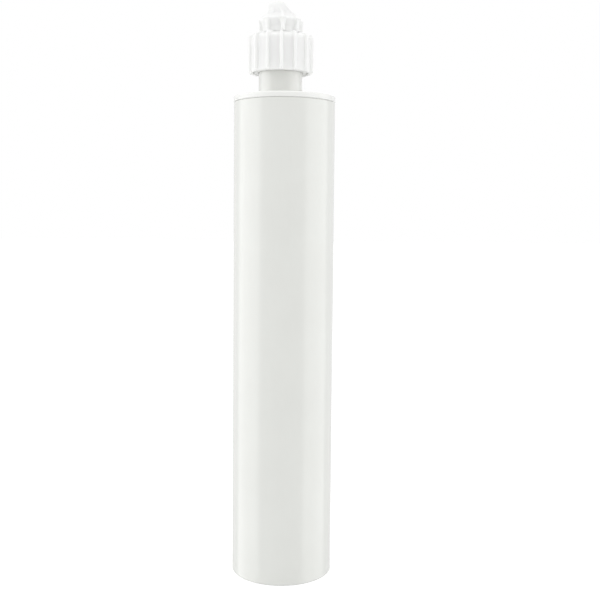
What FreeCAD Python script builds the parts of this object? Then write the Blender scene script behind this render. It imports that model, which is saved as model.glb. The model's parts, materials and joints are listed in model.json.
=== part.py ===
import FreeCAD
import Part
import Sketcher
import math
import os

from FreeCAD import Placement, Rotation, Vector

# A foil-tube cartridge of two-part anchoring resin for a standard sealant gun.
# A plastic sleeve holds two film bags, a large one of resin and a small one of hardener.
# A moulded head closes its front, with an outlet neck set off centre and a screw cap on it.
# A piston closes the rear, and the gun pushes it forward.
# The origin is the centre of the sleeve's rear rim. +Z runs along the sleeve to the outlet.

doc = FreeCAD.newDocument("Cartridge")

# Every driving size, in mm or degrees, with what it measures.
drivingSizes = [
    ("sleeveOuterDiameter", "49.5", "outside of the sleeve, for a standard gun cradle"),
    ("sleeveWall", "1.5", "wall of the sleeve"),
    ("sleeveLength", "233", "rear rim to front end of the sleeve"),
    ("sleeveEdgeChamfer", "0.45", "outer edge of both ends of the sleeve"),
    ("sleeveLeadIn", "0.6", "inner edge of the rear rim, where the piston goes in"),
    ("rimOverhang", "0.1", "how far the head's rim stands out past the sleeve"),
    ("rimThickness", "2.65", "thickness of the head's disc"),
    ("rimEdgeRadius", "0.5", "rounding of the rim's upper edge"),
    ("rimSeamChamfer", "0.25", "chamfer of the rim at the seam"),
    ("spigotDepth", "12", "depth of the head's spigot in the sleeve"),
    ("spigotWall", "1.6", "wall of the spigot"),
    ("spigotClearance", "0.05", "radial gap between spigot and sleeve"),
    ("snapBeadHeight", "0.3", "height of the snap bead round the spigot"),
    ("snapBeadWidth", "2", "width of the snap bead at its foot"),
    ("snapBeadDepth", "6", "seam to the middle of the snap bead"),
    ("snapClearance", "0.1", "gap between the bead and its groove"),
    ("neckOffset", "2.1", "neck axis to sleeve axis, towards -X"),
    ("neckDiameter", "21.3", "plain part of the outlet neck"),
    ("neckBoreDiameter", "15.3", "bore of the outlet neck"),
    ("neckPlainLength", "13.5", "head disc to the start of the thread"),
    ("neckHeight", "26", "head disc to the mouth of the neck"),
    ("neckFootRadius", "0.6", "fillet between neck and disc"),
    ("neckMouthChamfer", "0.8", "lead-in at the mouth of the neck"),
    ("neckFunnelChamfer", "1.8", "lead-in under the bore, where the bags pass"),
    ("threadCoreDiameter", "19.3", "core of the outlet thread"),
    ("capGap", "11.4", "head disc to the lower edge of the cap"),
    ("capPhase", "6.8", "turn of the cap's fins from +X, in degrees"),
    ("capPanelDiameter", "29.8", "skirt between its ribs"),
    ("capSkirtWall", "1.2", "wall of the skirt"),
    ("capCornerHeight", "17", "lower edge to the corner of skirt and shoulder"),
    ("capCornerRadius", "2.6", "rounding of that corner"),
    ("capShoulderHeight", "17.5", "lower edge to the top of the shoulder"),
    ("capCoringHeight", "15.2", "depth of the coring between the cap's two walls"),
    ("ribCount", "14", "grip ribs round the skirt"),
    ("ribPhase", "8.6", "turn of the ribs from the fins, in degrees"),
    ("ribHeight", "1.4", "how far a rib stands out of the skirt"),
    ("ribWidth", "1.3", "width of a rib"),
    ("ribCornerRadius", "3.2", "rounding of a rib's upper corner"),
    ("ribRise", "2", "how far a rib stands over the shoulder's top"),
    ("ribInnerRadius", "1", "rounding of a rib over the shoulder, where it falls to the dome"),
    ("ribOverlap", "0.4", "how far that rounding lies outside the ring at the dome's foot"),
    ("capThreadClearance", "0.3", "radial gap between neck and cap bore"),
    ("threadSleeveWall", "1.2", "wall of the cap's threaded inner sleeve"),
    ("threadSleeveRecess", "0.8", "lower edge of the cap to that of its inner sleeve"),
    ("webCount", "6", "webs that join the cap's two walls"),
    ("webWidth", "1.2", "width of a web"),
    ("webRecess", "2", "lower edge of the cap to that of a web"),
    ("domeFootDiameter", "22.2", "ring at the foot of the dome"),
    ("domeFootHeight", "0.5", "height of that ring over the shoulder"),
    ("domeCoreDiameter", "16.2", "dome between its fins"),
    ("domeWall", "1.3", "wall of the dome"),
    ("finCount", "8", "fins round the dome"),
    ("finDiameter", "21.9", "over the fins"),
    ("finWidth", "1.7", "width of a fin"),
    ("finCornerHeight", "25.45", "lower edge of the cap to where the fins slope in"),
    ("finCornerRadius", "1.2", "rounding of a fin's corner"),
    ("finRise", "0.5", "how far a fin stands out of the hood"),
    ("crownWall", "2.9", "height from the dome's hollow to the hood, at the hollow's rim"),
    ("hoodHeight", "24.9", "lower edge of the cap to that of the hood between the fins"),
    ("hoodFillet", "1.6", "rounding under the hood"),
    ("noseFootDiameter", "11.6", "foot of the blunt nose"),
    ("noseFootHeight", "30.5", "lower edge of the cap to the foot of the nose"),
    ("noseTopDiameter", "7.4", "top of the nose before it is rounded"),
    ("noseRadius", "2.4", "rounding of the nose"),
    ("capHeight", "34.7", "lower edge to the tip of the cap"),
    ("domeTipDiameter", "6.4", "top of the hollow in the dome"),
    ("domeTipWall", "2.6", "wall over that hollow"),
    ("sealThickness", "1", "soft ring between the mouth and the cap"),
    ("sealDiameter", "20.6", "outside of the soft ring"),
    ("sealLip", "0.4", "how far the ring's hole is larger than the bore, in radius"),
    ("pistonRecess", "10", "rear rim of the sleeve to the rear of the piston"),
    ("pistonHeight", "22", "rear to front of the piston"),
    ("pistonClearance", "0.15", "radial gap between piston lips and sleeve"),
    ("pistonWaist", "0.5", "how far the piston's wall lies inside its lips"),
    ("pistonLipHeight", "2.5", "height of each lip"),
    ("pistonWall", "1.8", "wall of the piston"),
    ("pistonPocketDiameter", "24", "pocket in its face for the bags' rear tails"),
    ("pistonPocketFloor", "5", "rear of the piston to the pocket's floor"),
    ("pistonDishDepth", "7", "depth of the dished face at the pocket"),
    ("pistonRibCount", "6", "ribs behind the face"),
    ("pistonRibWidth", "1.5", "width of those ribs"),
    ("bagClearance", "0.35", "gap between a bag and what it lies against"),
    ("bagStandOff", "1.5", "foot of the piston's dish to the bags, past the gap"),
    ("resinFrontTaper", "22", "length of the resin bag's rounded front"),
    ("resinRearTaper", "11", "length of the resin bag's rounded rear"),
    ("resinTailDiameter", "4.8", "gathered film tail of the resin bag"),
    ("resinTailOffset", "2.2", "resin tails to the neck axis, towards +X"),
    ("hardenerDiameter", "13.6", "small bag of hardener"),
    ("hardenerFrontTaper", "24", "length of the hardener bag's rounded front"),
    ("hardenerRearTaper", "12", "length of the hardener bag's rounded rear"),
    ("hardenerTailDiameter", "3", "gathered film tail of the hardener bag"),
    ("hardenerTailOffset", "3.9", "hardener tails to the neck axis, towards -X"),
    ("tailFlare", "0.5", "how far a tail's tuft spreads past its clip, in radius"),
    ("tailTuft", "2.5", "length of the tuft past the clip"),
    ("frontTailRise", "6.5", "mouth of the neck to the tips of the front tails"),
    ("rearTailLength", "8", "rear of the bags to the tips of the rear tails"),
    ("clipWireDiameter", "1.3", "wire of the clips"),
    ("clipClearance", "0.05", "gap between a clip and its tail"),
    ("clipStagger", "3.2", "the resin clips' distance past the hardener clips"),
]

sheet = doc.addObject("Spreadsheet::Sheet", "Sizes")
for row, (alias, value, meaning) in enumerate(drivingSizes, start=1):
    sheet.set(f"A{row}", meaning)
    sheet.set(f"B{row}", value)
    sheet.setAlias(f"B{row}", alias)
doc.recompute()


# Places that several pieces share, as expressions of the sheet.
sleeveRadius = "(Sizes.sleeveOuterDiameter / 2)"
boreRadius = f"({sleeveRadius} - Sizes.sleeveWall)"
seam = "Sizes.sleeveLength"
discTop = f"({seam} + Sizes.rimThickness)"
snapMiddle = f"({seam} - Sizes.snapBeadDepth)"
snapHalf = "(Sizes.snapBeadWidth / 2)"
neckX = "(-Sizes.neckOffset)"
neckMouth = f"({discTop} + Sizes.neckHeight)"
capSeat = f"({discTop} + Sizes.capGap)"
sealTop = f"({neckMouth} + Sizes.sealThickness)"
roofHeight = f"({sealTop} - {capSeat})"
dishFoot = "(Sizes.pistonRecess + Sizes.pistonHeight - Sizes.pistonDishDepth)"
bagRear = f"({dishFoot} + Sizes.bagClearance + Sizes.bagStandOff)"
tailBottom = f"({bagRear} - Sizes.rearTailLength)"
tailTop = f"({neckMouth} + Sizes.frontTailRise)"
resinTailX = f"({neckX} + Sizes.resinTailOffset)"
hardenerTailX = f"({neckX} - Sizes.hardenerTailOffset)"


def sized(expression):
    """The number that an expression of the sheet gives now."""
    return float(sheet.evalExpression(str(expression)))


def addBody(label):
    body = doc.addObject("PartDesign::Body", label)
    body.Label = label
    return body


def addSketch(body, name, role):
    """An empty sketch on one of the body's own origin planes."""
    sketch = body.newObject("Sketcher::SketchObject", name)
    plane = next(item for item in body.Origin.OriginFeatures if item.Role == role)
    sketch.AttachmentSupport = [(plane, "")]
    sketch.MapMode = "FlatFace"
    return sketch


def outlineSketch(body, name, corners, turn=None):
    """A closed outline in the XZ plane, or one turned round Z, through corners (x, z[, rounding])."""
    sketch = addSketch(body, name, "XZ_Plane")
    if turn:
        upright = FreeCAD.Rotation(Vector(0, 1, 0), sized(turn))
        sketch.AttachmentOffset = FreeCAD.Placement(Vector(0, 0, 0), upright)
        sketch.setExpression("AttachmentOffset.Rotation.Angle", turn)
    points = [Vector(sized(corner[0]), sized(corner[1]), 0) for corner in corners]
    bound = []

    def locate(geometry, end, corner):
        for kind, expression, axis in (("DistanceX", corner[0], -2), ("DistanceY", corner[1], -1)):
            if expression == "0":
                sketch.addConstraint(Sketcher.Constraint("PointOnObject", geometry, end, axis))
            else:
                rule = Sketcher.Constraint(kind, -1, 1, geometry, end, sized(expression))
                bound.append((sketch.addConstraint(rule), expression))

    arrivals, leaves, arcs = [], [], {}
    for index, corner in enumerate(corners):
        point = points[index]
        if len(corner) == 2:
            arrivals.append(point)
            leaves.append(point)
            continue
        back = (points[index - 1] - point).normalize()
        ahead = (points[(index + 1) % len(points)] - point).normalize()
        half = back.getAngle(ahead) / 2
        radius = sized(corner[2])
        arrivals.append(point + back * (radius / math.tan(half)))
        leaves.append(point + ahead * (radius / math.tan(half)))
        arcs[index] = (point + (back + ahead).normalize() * (radius / math.sin(half)), radius)

    lines = []
    for index in range(len(corners)):
        edge = Part.LineSegment(leaves[index], arrivals[(index + 1) % len(corners)])
        lines.append(sketch.addGeometry(edge))

    for index, corner in enumerate(corners):
        before, after = lines[index - 1], lines[index]
        if index not in arcs:
            sketch.addConstraint(Sketcher.Constraint("Coincident", before, 2, after, 1))
            locate(after, 1, corner)
            continue
        centre, radius = arcs[index]
        first = arrivals[index] - centre
        last = leaves[index] - centre
        angles = [math.atan2(first.y, first.x), math.atan2(last.y, last.x)]
        ends = (1, 2)
        if first.cross(last).z < 0:
            angles.reverse()
            ends = (2, 1)
        circle = Part.Circle(centre, Vector(0, 0, 1), radius)
        arc = sketch.addGeometry(Part.ArcOfCircle(circle, *angles))
        sketch.addConstraint(Sketcher.Constraint("Tangent", before, 2, arc, ends[0]))
        sketch.addConstraint(Sketcher.Constraint("Tangent", arc, ends[1], after, 1))
        rounding = sketch.addConstraint(Sketcher.Constraint("Radius", arc, radius))
        bound.append((rounding, corner[2]))
        tip = sketch.addGeometry(Part.Point(points[index]), True)
        sketch.addConstraint(Sketcher.Constraint("PointOnObject", tip, 1, before))
        sketch.addConstraint(Sketcher.Constraint("PointOnObject", tip, 1, after))
        locate(tip, 1, corner)

    for rule, expression in bound:
        sketch.setExpression(f"Constraints[{rule}]", expression)
    return sketch


def circleSketch(body, name, centreX, radius, height):
    """A circle parallel to the XY plane at a height, with its centre at (centreX, 0)."""
    sketch = addSketch(body, name, "XY_Plane")
    sketch.setExpression("AttachmentOffset.Base.z", height)
    centre = Vector(sized(centreX), 0, 0)
    circle = sketch.addGeometry(Part.Circle(centre, Vector(0, 0, 1), sized(radius)))
    rule = sketch.addConstraint(Sketcher.Constraint("Radius", circle, sized(radius)))
    sketch.setExpression(f"Constraints[{rule}]", radius)
    sketch.addConstraint(Sketcher.Constraint("PointOnObject", circle, 3, -1))
    rule = sketch.addConstraint(Sketcher.Constraint("DistanceX", -1, 1, circle, 3, centre.x))
    sketch.setExpression(f"Constraints[{rule}]", centreX)
    return sketch


def revolve(body, name, sketch):
    turned = body.newObject("PartDesign::Revolution", name)
    turned.Profile = sketch
    turned.ReferenceAxis = (sketch, ["V_Axis"])
    turned.Angle = 360
    doc.recompute()
    return turned


def pad(body, name, sketch, length, centred=False):
    raised = body.newObject("PartDesign::Pad", name)
    raised.Profile = sketch
    raised.Midplane = centred
    raised.setExpression("Length", length)
    doc.recompute()
    return raised


def polarPattern(body, name, feature, count):
    """Copies of a feature round the body's own Z axis."""
    pattern = body.newObject("PartDesign::PolarPattern", name)
    pattern.Originals = [feature]
    axis = next(item for item in body.Origin.OriginFeatures if item.Role == "Z_Axis")
    pattern.Axis = (axis, [""])
    pattern.Angle = 360
    pattern.setExpression("Occurrences", count)
    body.Tip = pattern
    doc.recompute()
    return pattern


def edgesWhere(feature, test):
    """The names of a feature's edges that pass a test."""
    edges = feature.Shape.Edges
    return [f"Edge{number}" for number, edge in enumerate(edges, start=1) if test(edge)]


def ringEdge(radius, height):
    """A test for a full circle of a radius at a height."""

    def matches(edge):
        if not isinstance(edge.Curve, Part.Circle):
            return False
        level = abs(edge.Curve.Center.z - sized(height)) < 0.01
        return level and abs(edge.Curve.Radius - sized(radius)) < 0.01

    return matches


def dressEdges(body, kind, name, feature, test, sizeName, size):
    """A fillet or chamfer on the edges of a feature that pass a test."""
    dressed = body.newObject(kind, name)
    dressed.Base = (feature, edgesWhere(feature, test))
    dressed.setExpression(sizeName, size)
    doc.recompute()
    return dressed


def buildSleeve():
    """An extruded tube with an inner groove that the head snaps into."""
    body = addBody("cartridge_sleeve")
    grooveHalf = f"({snapHalf} + Sizes.snapClearance)"
    groove = f"({boreRadius} + Sizes.snapBeadHeight + Sizes.snapClearance / 2)"
    edge = "Sizes.sleeveEdgeChamfer"
    leadIn = "Sizes.sleeveLeadIn"
    wall = outlineSketch(body, "SleeveWall", [
        (f"{boreRadius} + {leadIn}", "0"),
        (f"{sleeveRadius} - {edge}", "0"),
        (sleeveRadius, edge),
        (sleeveRadius, f"{seam} - {edge}"),
        (f"{sleeveRadius} - {edge}", seam),
        (boreRadius, seam),
        (boreRadius, f"{snapMiddle} + {grooveHalf}"),
        (groove, snapMiddle),
        (boreRadius, f"{snapMiddle} - {grooveHalf}"),
        (boreRadius, leadIn),
    ])
    revolve(body, "SleeveTube", wall)


def buildHead():
    """A disc on a snapped-in spigot, with the outlet neck on it."""
    body = addBody("outlet_head")
    spigot = f"({boreRadius} - Sizes.spigotClearance)"
    spigotInner = f"({spigot} - Sizes.spigotWall)"
    spigotEnd = f"({seam} - Sizes.spigotDepth)"
    rim = f"({sleeveRadius} + Sizes.rimOverhang)"
    section = outlineSketch(body, "DiscAndSpigot", [
        ("0", seam),
        (spigotInner, seam, "Sizes.spigotWall"),
        (spigotInner, spigotEnd),
        (f"{spigot} - Sizes.spigotWall / 3", spigotEnd),
        (spigot, f"{spigotEnd} + Sizes.spigotWall / 2"),
        (spigot, f"{snapMiddle} - {snapHalf}"),
        (f"{spigot} + Sizes.snapBeadHeight", snapMiddle),
        (spigot, f"{snapMiddle} + {snapHalf}"),
        (spigot, seam),
        (f"{rim} - Sizes.rimSeamChamfer", seam),
        (rim, f"{seam} + Sizes.rimSeamChamfer"),
        (rim, discTop, "Sizes.rimEdgeRadius"),
        ("0", discTop),
    ])
    revolve(body, "Disc", section)
    neckRadius = "(Sizes.neckDiameter / 2)"
    coreRadius = "(Sizes.threadCoreDiameter / 2)"
    neckFoot = circleSketch(body, "NeckFoot", neckX, neckRadius, discTop)
    neck = pad(body, "Neck", neckFoot, "Sizes.neckPlainLength")
    test = ringEdge(neckRadius, discTop)
    dressEdges(body, "PartDesign::Fillet", "NeckFillet", neck, test, "Radius", "Sizes.neckFootRadius")
    threadFoot = f"({discTop} + Sizes.neckPlainLength)"
    coreFoot = circleSketch(body, "ThreadFoot", neckX, coreRadius, threadFoot)
    pad(body, "ThreadCore", coreFoot, f"{neckMouth} - {threadFoot}")
    bore = circleSketch(body, "NeckBore", neckX, "Sizes.neckBoreDiameter / 2", neckMouth)
    hole = body.newObject("PartDesign::Pocket", "Bore")
    hole.Profile = bore
    hole.setExpression("Length", f"{neckMouth} - {spigotEnd}")
    doc.recompute()
    test = ringEdge(coreRadius, neckMouth)
    chamfer = "PartDesign::Chamfer"
    mouth = dressEdges(body, chamfer, "MouthLead", hole, test, "Size", "Sizes.neckMouthChamfer")
    test = ringEdge("Sizes.neckBoreDiameter / 2", seam)
    dressEdges(body, chamfer, "Funnel", mouth, test, "Size", "Sizes.neckFunnelChamfer")


def buildSeal():
    """A soft flat ring between the mouth of the neck and the roof of the cap."""
    body = addBody("cap_seal_ring")
    hole = "Sizes.neckBoreDiameter / 2 + Sizes.sealLip"
    section = outlineSketch(body, "SealSection", [
        (hole, "0"),
        ("Sizes.sealDiameter / 2", "0"),
        ("Sizes.sealDiameter / 2", "Sizes.sealThickness"),
        (hole, "Sizes.sealThickness"),
    ])
    revolve(body, "SealRing", section)
    body.setExpression("Placement.Base.x", neckX)
    body.setExpression("Placement.Base.z", neckMouth)


def buildCap():
    """A screw cap: a ribbed skirt round a threaded inner sleeve, and a finned dome over the tails."""
    body = addBody("screw_cap")
    panel = "(Sizes.capPanelDiameter / 2)"
    skirtInner = f"({panel} - Sizes.capSkirtWall)"
    bore = "(Sizes.neckDiameter / 2 + Sizes.capThreadClearance)"
    sleeve = f"({bore} + Sizes.threadSleeveWall)"
    foot = "(Sizes.domeFootDiameter / 2)"
    footTop = "(Sizes.capShoulderHeight + Sizes.domeFootHeight)"
    core = "(Sizes.domeCoreDiameter / 2)"
    noseFoot = "(Sizes.noseFootDiameter / 2)"
    fin = "(Sizes.finDiameter / 2)"
    hood = f"({fin} - Sizes.finRise)"
    hoodTop = f"({noseFoot} - Sizes.finRise / 2)"
    hoodRise = "(Sizes.noseFootHeight - Sizes.finCornerHeight)"
    hollow = f"({core} - Sizes.domeWall)"
    hollowRim = f"(({hood} - {hollow}) / ({hood} - {hoodTop}) * {hoodRise} - Sizes.crownWall)"
    shell = outlineSketch(body, "CapShell", [
        ("0", "Sizes.capHeight"),
        ("Sizes.noseTopDiameter / 2", "Sizes.capHeight", "Sizes.noseRadius"),
        (hoodTop, "Sizes.noseFootHeight"),
        (hood, "Sizes.finCornerHeight", "Sizes.finCornerRadius"),
        (hood, "Sizes.hoodHeight"),
        (core, "Sizes.hoodHeight", "Sizes.hoodFillet"),
        (core, footTop),
        (foot, footTop),
        (foot, "Sizes.capShoulderHeight"),
        (panel, "Sizes.capCornerHeight", "Sizes.capCornerRadius"),
        (panel, "0"),
        (skirtInner, "0"),
        (skirtInner, "Sizes.capCoringHeight"),
        (sleeve, "Sizes.capCoringHeight"),
        (sleeve, "Sizes.threadSleeveRecess"),
        (bore, "Sizes.threadSleeveRecess"),
        (bore, roofHeight),
        (hollow, roofHeight),
        (hollow, f"Sizes.finCornerHeight + {hollowRim}"),
        (f"{noseFoot} - Sizes.domeWall / 2", "Sizes.noseFootHeight - Sizes.domeWall"),
        ("Sizes.domeTipDiameter / 2", "Sizes.capHeight - Sizes.domeTipWall"),
        ("0", "Sizes.capHeight - Sizes.domeTipWall"),
    ])
    revolve(body, "Shell", shell)

    ribTop = f"({panel} + Sizes.ribHeight)"
    ribRoot = f"({panel} - Sizes.capSkirtWall / 2)"
    ribEnd = f"({core} - Sizes.domeWall / 2)"
    ribSection = outlineSketch(body, "RibSection", [
        (ribRoot, "0"),
        (ribTop, "0"),
        (ribTop, "Sizes.capCornerHeight + Sizes.ribHeight / 2", "Sizes.ribCornerRadius"),
        (f"{foot} + Sizes.ribOverlap", "Sizes.capShoulderHeight + Sizes.ribRise", "Sizes.ribInnerRadius"),
        (ribEnd, footTop),
        (ribEnd, "Sizes.capShoulderHeight - Sizes.capSkirtWall / 2"),
        (ribRoot, "Sizes.capCornerHeight - Sizes.capSkirtWall"),
    ], "Sizes.ribPhase")
    rib = pad(body, "Rib", ribSection, "Sizes.ribWidth", centred=True)
    polarPattern(body, "Ribs", rib, "Sizes.ribCount")

    finRoot = f"({core} - Sizes.domeWall / 2)"
    finSection = outlineSketch(body, "FinSection", [
        (finRoot, f"{footTop} - Sizes.domeFootHeight / 2"),
        (fin, f"{footTop} - Sizes.domeFootHeight / 2"),
        (fin, "Sizes.finCornerHeight", "Sizes.finCornerRadius"),
        (noseFoot, "Sizes.noseFootHeight"),
        (f"{noseFoot} - Sizes.domeWall / 2", "Sizes.noseFootHeight - Sizes.domeWall / 2"),
        (finRoot, "Sizes.finCornerHeight + Sizes.domeWall / 2"),
    ])
    finPad = pad(body, "Fin", finSection, "Sizes.finWidth", centred=True)
    polarPattern(body, "Fins", finPad, "Sizes.finCount")

    webSection = outlineSketch(body, "WebSection", [
        (f"{sleeve} - Sizes.threadSleeveWall / 2", "Sizes.webRecess"),
        (ribRoot, "Sizes.webRecess"),
        (ribRoot, "Sizes.capCoringHeight + Sizes.capSkirtWall / 2"),
        (f"{sleeve} - Sizes.threadSleeveWall / 2", "Sizes.capCoringHeight + Sizes.capSkirtWall / 2"),
    ])
    web = pad(body, "Web", webSection, "Sizes.webWidth", centred=True)
    polarPattern(body, "Webs", web, "Sizes.webCount")

    body.setExpression("Placement.Base.x", neckX)
    body.setExpression("Placement.Base.z", capSeat)
    body.setExpression("Placement.Rotation.Angle", "Sizes.capPhase")


def buildPiston():
    """A moulded piston with two lips, a dished face and a pocket for the bags' rear tails."""
    body = addBody("piston")
    lip = f"({boreRadius} - Sizes.pistonClearance)"
    waist = f"({lip} - Sizes.pistonWaist)"
    inner = f"({waist} - Sizes.pistonWall)"
    pocket = "(Sizes.pistonPocketDiameter / 2)"
    hub = f"({pocket} + Sizes.pistonWall)"
    brim = f"({lip} - Sizes.pistonWall)"
    dishEdge = "(Sizes.pistonHeight - Sizes.pistonDishDepth)"
    slope = f"(Sizes.pistonDishDepth / ({brim} - {pocket}))"
    roofAtHub = f"({dishEdge} + ({hub} - {pocket}) * {slope} - 1.25 * Sizes.pistonWall)"
    roofAtWall = f"({dishEdge} + ({inner} - {pocket}) * {slope} - 1.25 * Sizes.pistonWall)"
    hubEnd = "(Sizes.pistonPocketFloor - Sizes.pistonWall)"
    bevel = "Sizes.pistonWaist"
    section = outlineSketch(body, "PistonSection", [
        ("0", hubEnd),
        (hub, hubEnd),
        (hub, roofAtHub),
        (inner, roofAtWall),
        (inner, "0"),
        (lip, "0"),
        (lip, "Sizes.pistonLipHeight"),
        (waist, f"Sizes.pistonLipHeight + {bevel}"),
        (waist, f"Sizes.pistonHeight - Sizes.pistonLipHeight - {bevel}"),
        (lip, "Sizes.pistonHeight - Sizes.pistonLipHeight"),
        (lip, f"Sizes.pistonHeight - {bevel}"),
        (f"{lip} - {bevel}", "Sizes.pistonHeight"),
        (brim, "Sizes.pistonHeight"),
        (pocket, dishEdge),
        (pocket, "Sizes.pistonPocketFloor"),
        ("0", "Sizes.pistonPocketFloor"),
    ])
    revolve(body, "PistonShell", section)
    ribSection = outlineSketch(body, "PistonRibSection", [
        (f"{hub} - Sizes.pistonWall / 2", hubEnd),
        (f"{inner} + Sizes.pistonWall / 2", hubEnd),
        (f"{inner} + Sizes.pistonWall / 2", f"{roofAtWall} + Sizes.pistonWall / 2"),
        (f"{hub} - Sizes.pistonWall / 2", f"{roofAtHub} + Sizes.pistonWall / 2"),
    ])
    rib = pad(body, "PistonRib", ribSection, "Sizes.pistonRibWidth", centred=True)
    polarPattern(body, "PistonRibs", rib, "Sizes.pistonRibCount")
    body.setExpression("Placement.Base.z", "Sizes.pistonRecess")


def tailRing(x, height, radius, reach):
    """A circle about the bag's line, or, with a reach, a slot that opens towards -X."""
    if reach == 0:
        centre = Vector(x, 0, height)
        return Part.Wire(Part.Edge(Part.Circle(centre, Vector(0, 0, 1), radius)))
    left = x - reach
    front = Vector(x, -radius, height)
    back = Vector(x, radius, height)
    side = Part.Arc(front, Vector(x + radius, 0, height), back).toShape()
    corners = [back, Vector(left, radius, height), Vector(left, -radius, height), front]
    edges = [Part.makeLine(start, end) for start, end in zip(corners, corners[1:])]
    return Part.Wire([side] + edges)


def filmBag(bag, extra=0, reach=0):
    """A filled bag along Z whose ends round in to clipped tails. Extra widens it for a hollow."""
    steps = 7
    bend = [math.pi / 2 * step / steps for step in range(steps + 1)]
    tuft = sized("Sizes.tailTuft")
    flare = sized("Sizes.tailFlare")
    front = sized(seam)
    rear = sized(bagRear)
    stations = [(bag["tailX"], sized(tailBottom), bag["tail"] + flare)]
    stations.append((bag["tailX"], sized(tailBottom) + tuft, bag["tail"]))
    for turn in reversed(bend):
        narrowing = 1 - math.cos(turn)
        height = rear + bag["rearTaper"] * (1 - math.sin(turn))
        x = bag["x"] + (bag["tailX"] - bag["x"]) * narrowing
        stations.append((x, height, bag["radius"] + (bag["tail"] - bag["radius"]) * narrowing))
    for turn in bend:
        narrowing = 1 - math.cos(turn)
        height = front - bag["frontTaper"] * (1 - math.sin(turn))
        x = bag["x"] + (bag["tailX"] - bag["x"]) * narrowing
        stations.append((x, height, bag["radius"] + (bag["tail"] - bag["radius"]) * narrowing))
    stations.append((bag["tailX"], sized(tailTop) - tuft, bag["tail"]))
    stations.append((bag["tailX"], sized(tailTop), bag["tail"] + flare))
    rings = [tailRing(x, height, radius + extra, reach) for x, height, radius in stations]
    return Part.makeLoft(rings, True, True)


def addShape(label, shape):
    feature = doc.addObject("Part::Feature", label)
    feature.Label = label
    feature.Shape = shape
    feature.Placement = Placement(Vector(0, 0, 0), Rotation())


def buildBags():
    """The hardener bag lies along one side of the sleeve, in a hollow of the resin bag."""
    gap = sized("Sizes.bagClearance")
    inside = sized(boreRadius) - gap
    small = {
        "x": sized("Sizes.hardenerDiameter / 2") - inside,
        "radius": sized("Sizes.hardenerDiameter / 2"),
        "tailX": sized(hardenerTailX),
        "tail": sized("Sizes.hardenerTailDiameter / 2"),
        "rearTaper": sized("Sizes.hardenerRearTaper"),
        "frontTaper": sized("Sizes.hardenerFrontTaper"),
    }
    large = {
        "x": 0,
        "radius": inside,
        "tailX": sized(resinTailX),
        "tail": sized("Sizes.resinTailDiameter / 2"),
        "rearTaper": sized("Sizes.resinRearTaper"),
        "frontTaper": sized("Sizes.resinFrontTaper"),
    }
    addShape("hardener_bag", filmBag(small))
    addShape("resin_bag", filmBag(large).cut(filmBag(small, gap, inside)))


def buildClips():
    """Wire clips closed round the gathered tails at both ends of both bags."""
    wire = "(Sizes.clipWireDiameter / 2)"
    frontZ = f"({tailTop} - Sizes.tailTuft - {wire})"
    rearZ = f"({tailBottom} + Sizes.tailTuft + {wire})"
    resinTail = "Sizes.resinTailDiameter / 2"
    hardenerTail = "Sizes.hardenerTailDiameter / 2"
    places = [
        ("resin_front_clip", resinTailX, resinTail, frontZ),
        ("hardener_front_clip", hardenerTailX, hardenerTail, f"{frontZ} - Sizes.clipStagger"),
        ("resin_rear_clip", resinTailX, resinTail, rearZ),
        ("hardener_rear_clip", hardenerTailX, hardenerTail, f"{rearZ} + Sizes.clipStagger"),
    ]
    for label, x, tail, height in places:
        clip = doc.addObject("Part::Torus", label)
        clip.Label = label
        clip.setExpression("Radius1", f"{tail} + Sizes.clipClearance + {wire}")
        clip.setExpression("Radius2", wire)
        clip.setExpression("Placement.Base.x", x)
        clip.setExpression("Placement.Base.z", height)


buildSleeve()
buildHead()
buildSeal()
buildCap()
buildPiston()
buildBags()
buildClips()
doc.recompute()

for item in doc.Objects:
    if "Invalid" in item.State or "Error" in item.State:
        raise RuntimeError(f"{item.Label} did not compute: {item.State}")

kinds = ("PartDesign::Body", "Part::Feature", "Part::Torus")
parts = [item for item in doc.Objects if item.TypeId in kinds]
for item in parts:
    if item.Shape.isNull() or not item.Shape.isValid() or len(item.Shape.Solids) != 1:
        raise RuntimeError(f"{item.Label} is not one valid solid")

os.makedirs("parts", exist_ok=True)
for item in parts:
    item.Shape.exportStep(os.path.join("parts", f"{item.Label}.step"))
    print(item.Label, round(item.Shape.Volume, 1), "mm3")
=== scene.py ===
import bpy
import bmesh
import json
import math
import numpy as np
from mathutils import Matrix, Vector


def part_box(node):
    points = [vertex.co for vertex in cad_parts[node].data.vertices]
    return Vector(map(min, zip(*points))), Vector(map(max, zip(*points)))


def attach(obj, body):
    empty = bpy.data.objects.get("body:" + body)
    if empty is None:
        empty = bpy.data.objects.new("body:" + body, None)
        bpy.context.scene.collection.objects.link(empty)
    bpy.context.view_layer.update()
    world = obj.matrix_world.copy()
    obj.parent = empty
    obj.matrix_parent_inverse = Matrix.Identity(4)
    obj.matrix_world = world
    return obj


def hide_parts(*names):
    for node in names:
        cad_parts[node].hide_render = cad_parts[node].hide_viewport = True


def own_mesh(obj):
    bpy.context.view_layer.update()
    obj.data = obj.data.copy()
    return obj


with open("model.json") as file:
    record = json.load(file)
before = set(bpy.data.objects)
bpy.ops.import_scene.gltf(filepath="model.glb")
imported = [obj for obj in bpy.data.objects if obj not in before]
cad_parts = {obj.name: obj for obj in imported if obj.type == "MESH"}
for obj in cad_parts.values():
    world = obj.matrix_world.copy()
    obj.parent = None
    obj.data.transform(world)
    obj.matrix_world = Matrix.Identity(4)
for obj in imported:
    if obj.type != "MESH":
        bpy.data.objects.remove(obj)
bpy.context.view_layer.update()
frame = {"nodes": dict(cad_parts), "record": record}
cadNodes = frame["nodes"]
mm = 0.001
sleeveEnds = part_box("cartridge_sleeve")
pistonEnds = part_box("piston")
capFoot, capTip = (Vector(corner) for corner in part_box("screw_cap"))
neckX = (capFoot.x + capTip.x) / 2
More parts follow.
